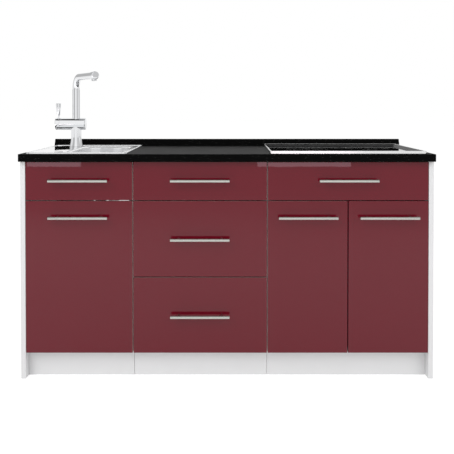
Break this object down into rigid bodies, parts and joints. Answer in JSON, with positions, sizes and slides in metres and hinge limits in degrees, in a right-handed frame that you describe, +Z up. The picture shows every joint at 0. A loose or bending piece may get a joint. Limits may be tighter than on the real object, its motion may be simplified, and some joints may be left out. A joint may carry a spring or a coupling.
{
  "type": "kitchenette unit",
  "caption": "Kitchenette unit with gloss red fronts, black worktop, inset steel sink, side-lever mixer tap and framed ceramic hob over a drawer and doors.",
  "frame": {"origin": "on the floor, in the middle of the unit's width and of its depth from the handles to the wall", "axes": "+X to the right along the front, +Y towards the wall, +Z up"},
  "size_m": [1.54, 0.612, 1.156],
  "materials": {
    "white_board": "white melamine on chipboard",
    "white_back": "white lacquered fibreboard",
    "white_edge": "white melamine, satin",
    "black_leg_plastic": "moulded",
    "zinc_steel": "zinc plated",
    "hinge_steel": "nickel plated",
    "black_worktop": "laminate with a fine stone fleck",
    "bar_steel": "brushed",
    "red_gloss": "high gloss",
    "drawer_board": "pale melamine",
    "sink_steel": "polished stainless",
    "white_pipe_plastic": "moulded",
    "tap_chrome": "polished",
    "brass_fitting": "turned",
    "hob_frame_steel": "polished stainless",
    "hob_glass_black": "black glass ceramic, glossy",
    "heater_metal": "pressed"
  },
  "bodies": {
    "root": {"cabinet_sides": "white_board", "back_panels": "white_back", "cabinet_cross_boards": "white_board", "hob_shelf": "white_board", "end_cheeks": "white_edge", "plinth_boards": "white_edge", "legs": "black_leg_plastic", "steel_fixings": "zinc_steel", "worktop": "black_worktop", "wall_strip": "black_worktop", "fixed_front": "red_gloss", "fixed_front_handle": "bar_steel", "hinge_arms": "hinge_steel", "drawer_runners": "zinc_steel", "sink_deck": "sink_steel", "sink_bowl": "sink_steel", "sink_waste": "sink_steel", "sink_trap": "white_pipe_plastic", "tap_body": "tap_chrome", "tap_tails": "brass_fitting", "hob_frame": "hob_frame_steel", "hob_glass": "hob_glass_black", "hob_tray": "zinc_steel", "hob_internals": "heater_metal"},
    "sink_door": {"sink_door_panel": "red_gloss", "sink_door_handle": "bar_steel", "sink_door_hinge_cups": "hinge_steel"},
    "sink_door_links": {"sink_door_hinge_links": "hinge_steel"},
    "hob_left_door": {"hob_left_door_panel": "red_gloss", "hob_left_door_handle": "bar_steel", "hob_left_door_hinge_cups": "hinge_steel"},
    "hob_left_door_links": {"hob_left_door_hinge_links": "hinge_steel"},
    "hob_right_door": {"hob_right_door_panel": "red_gloss", "hob_right_door_handle": "bar_steel", "hob_right_door_hinge_cups": "hinge_steel"},
    "hob_right_door_links": {"hob_right_door_hinge_links": "hinge_steel"},
    "top_drawer": {"top_drawer_front": "red_gloss", "top_drawer_handle": "bar_steel", "top_drawer_box": "drawer_board", "top_drawer_slides": "zinc_steel"},
    "top_drawer_middles": {"top_drawer_runner_middles": "zinc_steel"},
    "middle_drawer": {"middle_drawer_front": "red_gloss", "middle_drawer_handle": "bar_steel", "middle_drawer_box": "drawer_board", "middle_drawer_slides": "zinc_steel"},
    "middle_drawer_middles": {"middle_drawer_runner_middles": "zinc_steel"},
    "bottom_drawer": {"bottom_drawer_front": "red_gloss", "bottom_drawer_handle": "bar_steel", "bottom_drawer_box": "drawer_board", "bottom_drawer_slides": "zinc_steel"},
    "bottom_drawer_middles": {"bottom_drawer_runner_middles": "zinc_steel"},
    "hob_drawer": {"hob_drawer_front": "red_gloss", "hob_drawer_handle": "bar_steel", "hob_drawer_box": "drawer_board", "hob_drawer_slides": "zinc_steel"},
    "hob_drawer_middles": {"hob_drawer_runner_middles": "zinc_steel"},
    "spout": {"tap_spout": "tap_chrome"},
    "lever_hub": {"tap_lever_hub": "tap_chrome"},
    "lever": {"tap_lever": "tap_chrome"},
    "strainer": {"waste_strainer": "sink_steel"}
  },
  "joints": [
    {"name": "sink_door_swing", "type": "hinge", "parent": "root", "child": "sink_door", "pos_m": [-0.7425, -0.267, 0.381], "axis": [0, 0, -1], "range_deg": [0, 100]},
    {"name": "sink_door_link_turn", "type": "hinge", "parent": "root", "child": "sink_door_links", "pos_m": [-0.729, -0.253, 0.381], "axis": [0, 0, -1], "range_deg": [0, 66]},
    {"name": "hob_left_door_swing", "type": "hinge", "parent": "root", "child": "hob_left_door", "pos_m": [0.1575, -0.267, 0.381], "axis": [0, 0, -1], "range_deg": [0, 90]},
    {"name": "hob_left_door_link_turn", "type": "hinge", "parent": "root", "child": "hob_left_door_links", "pos_m": [0.171, -0.253, 0.381], "axis": [0, 0, -1], "range_deg": [0, 59.4]},
    {"name": "hob_right_door_swing", "type": "hinge", "parent": "root", "child": "hob_right_door", "pos_m": [0.7425, -0.267, 0.381], "axis": [0, 0, 1], "range_deg": [0, 100]},
    {"name": "hob_right_door_link_turn", "type": "hinge", "parent": "root", "child": "hob_right_door_links", "pos_m": [0.729, -0.253, 0.381], "axis": [0, 0, 1], "range_deg": [0, 66]},
    {"name": "top_drawer_slide", "type": "slide", "parent": "root", "child": "top_drawer", "axis": [0, -1, 0], "range_m": [0, 0.45]},
    {"name": "top_drawer_middle_slide", "type": "slide", "parent": "root", "child": "top_drawer_middles", "axis": [0, -1, 0], "range_m": [0, 0.225]},
    {"name": "middle_drawer_slide", "type": "slide", "parent": "root", "child": "middle_drawer", "axis": [0, -1, 0], "range_m": [0, 0.45]},
    {"name": "middle_drawer_middle_slide", "type": "slide", "parent": "root", "child": "middle_drawer_middles", "axis": [0, -1, 0], "range_m": [0, 0.225]},
    {"name": "bottom_drawer_slide", "type": "slide", "parent": "root", "child": "bottom_drawer", "axis": [0, -1, 0], "range_m": [0, 0.45]},
    {"name": "bottom_drawer_middle_slide", "type": "slide", "parent": "root", "child": "bottom_drawer_middles", "axis": [0, -1, 0], "range_m": [0, 0.225]},
    {"name": "hob_drawer_slide", "type": "slide", "parent": "root", "child": "hob_drawer", "axis": [0, -1, 0], "range_m": [0, 0.45]},
    {"name": "hob_drawer_middle_slide", "type": "slide", "parent": "root", "child": "hob_drawer_middles", "axis": [0, -1, 0], "range_m": [0, 0.225]},
    {"name": "spout_swivel", "type": "hinge", "parent": "root", "child": "spout", "pos_m": [-0.644, 0.146, 1.0865], "axis": [0, 0, 1], "range_deg": [-90, 60]},
    {"name": "lever_temperature", "type": "hinge", "parent": "root", "child": "lever_hub", "pos_m": [-0.72165, 0.146, 0.941], "axis": [1, 0, 0], "range_deg": [-45, 45]},
    {"name": "lever_flow", "type": "hinge", "parent": "lever_hub", "child": "lever", "pos_m": [-0.71965, 0.146, 0.958], "axis": [0, -1, 0], "range_deg": [0, 25]},
    {"name": "strainer_lift", "type": "slide", "parent": "root", "child": "strainer", "axis": [0, 0, 1], "range_m": [0, 0.12]}
  ],
  "couplings": [
    {"joint": "sink_door_link_turn", "follows": "sink_door_swing", "ratio": 0.66},
    {"joint": "hob_left_door_link_turn", "follows": "hob_left_door_swing", "ratio": 0.66},
    {"joint": "hob_right_door_link_turn", "follows": "hob_right_door_swing", "ratio": 0.66},
    {"joint": "top_drawer_middle_slide", "follows": "top_drawer_slide", "ratio": 0.5},
    {"joint": "middle_drawer_middle_slide", "follows": "middle_drawer_slide", "ratio": 0.5},
    {"joint": "bottom_drawer_middle_slide", "follows": "bottom_drawer_slide", "ratio": 0.5},
    {"joint": "hob_drawer_middle_slide", "follows": "hob_drawer_slide", "ratio": 0.5}
  ]
}
